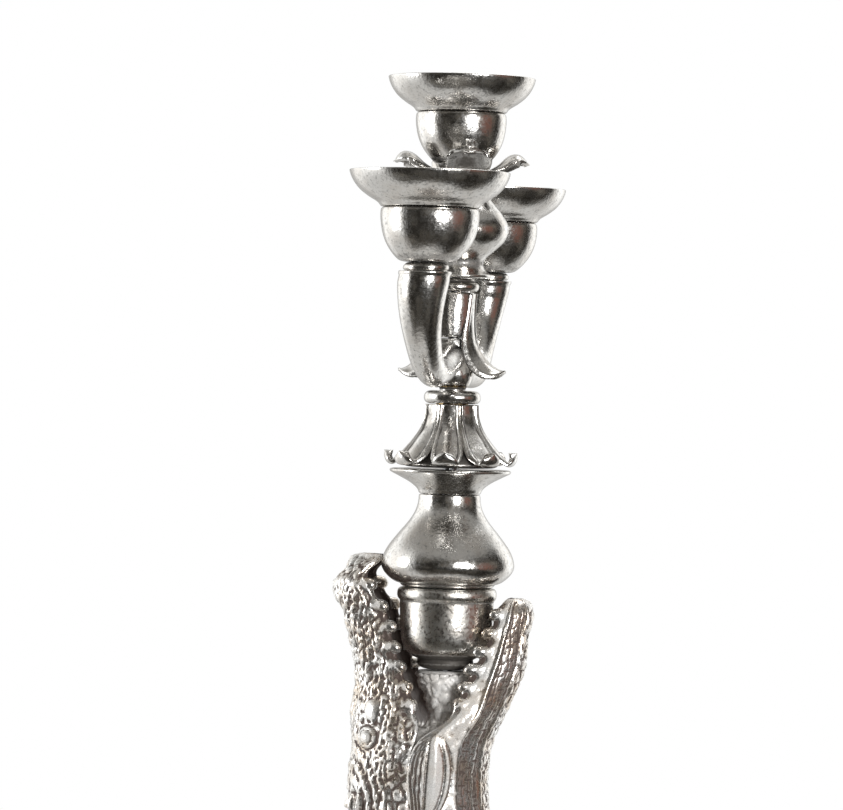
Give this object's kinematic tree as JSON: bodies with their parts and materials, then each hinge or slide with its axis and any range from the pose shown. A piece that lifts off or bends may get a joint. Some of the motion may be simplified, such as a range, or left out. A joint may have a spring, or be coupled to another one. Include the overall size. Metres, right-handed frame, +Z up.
{
  "type": "candelabrum",
  "caption": "Silver branched candelabrum held in the open jaws of an upright crocodile on a round moulded foot, with lift-out drip-pan nozzles.",
  "frame": {"origin": "centre of the felt's underside, on the stem's axis", "axes": "+Z up the stem, +X to the crocodile's belly side, the two branches along -Y (crocodile's right) and +Y (its left)"},
  "size_m": [0.208, 0.2542, 0.6167],
  "materials": {
    "silver_plate": "polished antique silver plate, darkened in the recesses",
    "cast_silver": "cast, oxidised and hand-rubbed silver plate",
    "steel": "plain zinc-free steel",
    "brass": "turned",
    "felt": "dark green baize"
  },
  "bodies": {
    "stand": {"base_foot": "silver_plate", "urn": "silver_plate", "bulb": "silver_plate", "dish": "silver_plate", "petal_skirt": "silver_plate", "bead_ring": "silver_plate", "crocodile_back_shell": "cast_silver", "crocodile_belly_shell": "cast_silver", "crocodile_tail": "cast_silver", "foreleg_right": "cast_silver", "foreleg_left": "cast_silver", "hindleg_right": "cast_silver", "hindleg_left": "cast_silver", "tongue": "cast_silver", "base_cover": "steel", "cover_screw_1": "steel", "cover_screw_2": "steel", "cover_screw_3": "steel", "foot_right_stud": "steel", "foot_right_nut": "steel", "foot_left_stud": "steel", "foot_left_nut": "steel", "tail_stud": "steel", "tail_nut": "steel", "mouth_bridge": "steel", "stem_rod": "steel", "stem_rod_nut": "steel", "socket_nut": "steel", "felt_pad": "felt"},
    "socket_liner": {"socket_sleeve": "brass"},
    "branches": {"branch_hub": "silver_plate", "leaf_column": "silver_plate", "column_cap": "silver_plate", "vase_knob": "silver_plate", "leaf_collar": "silver_plate", "branch_rod": "steel", "center_nut": "steel", "arm_right": "silver_plate", "arm_left": "silver_plate", "arm_ring_right": "silver_plate", "arm_ring_left": "silver_plate", "cup_screw_right": "steel", "cup_screw_left": "steel", "cup_center": "silver_plate", "cup_right": "silver_plate", "cup_left": "silver_plate"},
    "pan_center": {"nozzle_center": "silver_plate"},
    "pan_right": {"nozzle_right": "silver_plate"},
    "pan_left": {"nozzle_left": "silver_plate"}
  },
  "joints": [
    {"name": "branches_turn", "type": "hinge", "parent": "stand", "child": "socket_liner", "pos_m": [0, 0, 0.45], "axis": [0, 0, 1], "continuous": true},
    {"name": "branches_lift", "type": "slide", "parent": "socket_liner", "child": "branches", "axis": [0, 0, 1], "range_m": [0, 0.045]},
    {"name": "nozzle_center_lift", "type": "slide", "parent": "branches", "child": "pan_center", "axis": [0, 0, 1], "range_m": [0, 0.03]},
    {"name": "nozzle_right_lift", "type": "slide", "parent": "branches", "child": "pan_right", "axis": [0, 0, 1], "range_m": [0, 0.03]},
    {"name": "nozzle_left_lift", "type": "slide", "parent": "branches", "child": "pan_left", "axis": [0, 0, 1], "range_m": [0, 0.03]}
  ]
}
